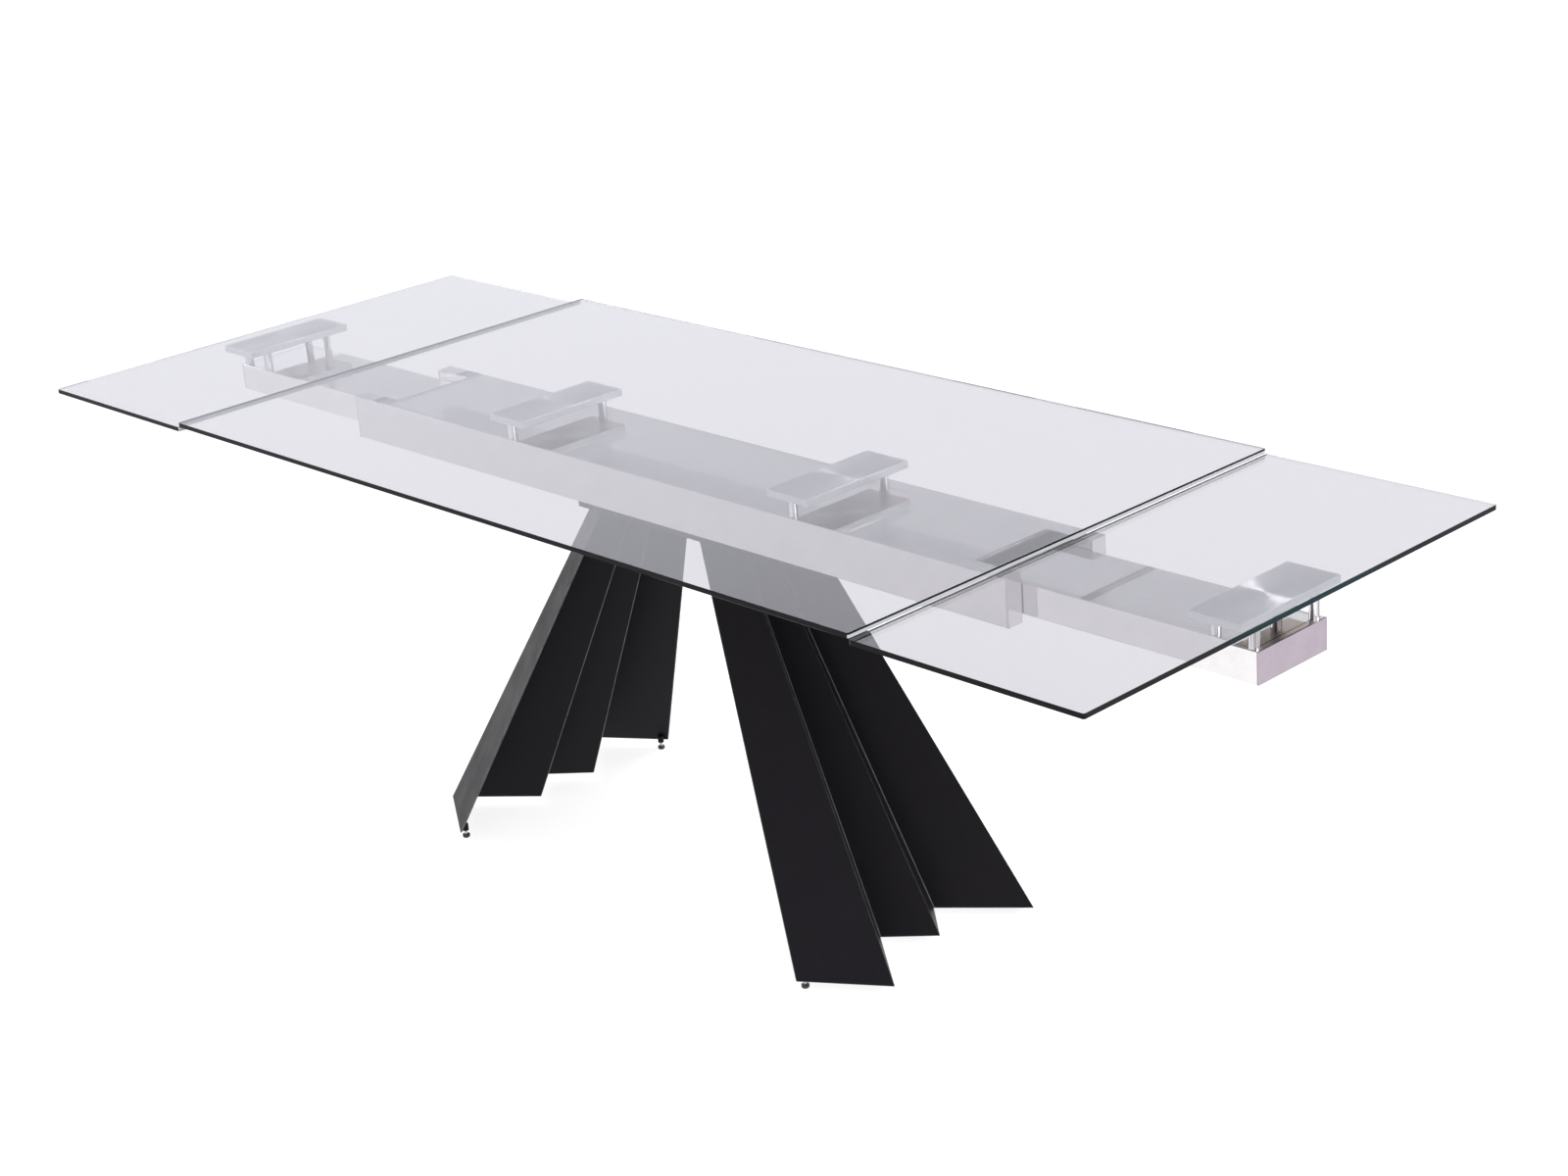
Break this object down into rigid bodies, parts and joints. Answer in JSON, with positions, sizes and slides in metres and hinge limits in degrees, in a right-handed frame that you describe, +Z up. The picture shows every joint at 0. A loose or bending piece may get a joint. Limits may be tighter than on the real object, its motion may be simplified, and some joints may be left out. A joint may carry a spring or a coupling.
{
  "type": "extendable dining table",
  "caption": "Extendable dining table: a clear glass top with a sliding leaf at each end, on a polished steel beam and pleated black sheet-steel legs.",
  "frame": {"origin": "on the floor, under the middle of the table", "axes": "+X along the table's length, +Y across it, +Z up; the left end is at -X and the right end at +X"},
  "size_m": [2.4, 0.9, 0.756],
  "materials": {
    "glass": "clear polished float glass, cool grey edges",
    "brushed_plate": "brushed in circles about the plate's centre",
    "chrome_post": "turned and chromed",
    "polished_steel": "mirror-polished stainless steel, slightly wavy",
    "plain_steel": "zinc-plated",
    "black_coat": "satin black powder coat with a fine texture",
    "black_plastic": "moulded",
    "white_glide": "slippery moulded strip"
  },
  "bodies": {
    "base": {"centre_glass": "glass", "left_inner_plate": "brushed_plate", "right_inner_plate": "brushed_plate", "left_inner_posts": "chrome_post", "right_inner_posts": "chrome_post", "front_rail": "polished_steel", "rear_rail": "polished_steel", "front_rail_end_caps": "polished_steel", "rear_rail_end_caps": "polished_steel", "beam_top_cover": "polished_steel", "beam_bottom_cover": "polished_steel", "top_cover_lips": "polished_steel", "bottom_cover_lips": "polished_steel", "centre_crossmember": "plain_steel", "beam_thread_inserts": "plain_steel", "left_inner_post_studs": "plain_steel", "left_inner_weld_nuts": "plain_steel", "right_inner_post_studs": "plain_steel", "right_inner_weld_nuts": "plain_steel", "base_top_plate": "black_coat", "left_leg_panel": "black_coat", "right_leg_panel": "black_coat", "left_foot_bosses": "black_coat", "right_foot_bosses": "black_coat", "beam_mount_bolts": "black_coat", "left_side_glides": "white_glide", "right_side_glides": "white_glide"},
    "left_sled": {"left_sled_plate": "plain_steel", "left_sled_runners": "white_glide"},
    "left_leaf": {"left_arm_tube": "polished_steel", "left_arm_end_cap": "polished_steel", "left_arm_inner_plug": "black_plastic", "left_arm_upper_glide": "white_glide", "left_outer_posts": "chrome_post", "left_outer_post_screws": "plain_steel", "left_outer_plate": "brushed_plate", "left_leaf_glass": "glass"},
    "right_sled": {"right_sled_plate": "plain_steel", "right_sled_runners": "white_glide"},
    "right_leaf": {"right_arm_tube": "polished_steel", "right_arm_end_cap": "polished_steel", "right_arm_inner_plug": "black_plastic", "right_arm_upper_glide": "white_glide", "right_outer_posts": "chrome_post", "right_outer_post_screws": "plain_steel", "right_outer_plate": "brushed_plate", "right_leaf_glass": "glass"},
    "front_left_foot": {"front_left_foot_stud": "plain_steel", "front_left_foot_pad": "black_plastic"},
    "front_right_foot": {"front_right_foot_stud": "plain_steel", "front_right_foot_pad": "black_plastic"},
    "rear_left_foot": {"rear_left_foot_stud": "plain_steel", "rear_left_foot_pad": "black_plastic"},
    "rear_right_foot": {"rear_right_foot_stud": "plain_steel", "rear_right_foot_pad": "black_plastic"}
  },
  "joints": [
    {"name": "left_leaf_slide", "type": "slide", "parent": "base", "child": "left_sled", "axis": [-1, 0, 0], "range_m": [-0.4, 0]},
    {"name": "left_leaf_lift", "type": "slide", "parent": "left_sled", "child": "left_leaf", "axis": [0, 0, 1], "range_m": [0, 0.0084]},
    {"name": "right_leaf_slide", "type": "slide", "parent": "base", "child": "right_sled", "axis": [1, 0, 0], "range_m": [-0.4, 0]},
    {"name": "right_leaf_lift", "type": "slide", "parent": "right_sled", "child": "right_leaf", "axis": [0, 0, 1], "range_m": [0, 0.0084]},
    {"name": "front_left_foot_screw", "type": "hinge", "parent": "base", "child": "front_left_foot", "pos_m": [-0.42422, -0.22994, 0.003], "axis": [0, 0, 1], "continuous": true},
    {"name": "front_right_foot_screw", "type": "hinge", "parent": "base", "child": "front_right_foot", "pos_m": [0.42422, -0.22994, 0.003], "axis": [0, 0, 1], "continuous": true},
    {"name": "rear_left_foot_screw", "type": "hinge", "parent": "base", "child": "rear_left_foot", "pos_m": [-0.42422, 0.22994, 0.003], "axis": [0, 0, 1], "continuous": true},
    {"name": "rear_right_foot_screw", "type": "hinge", "parent": "base", "child": "rear_right_foot", "pos_m": [0.42422, 0.22994, 0.003], "axis": [0, 0, 1], "continuous": true}
  ]
}
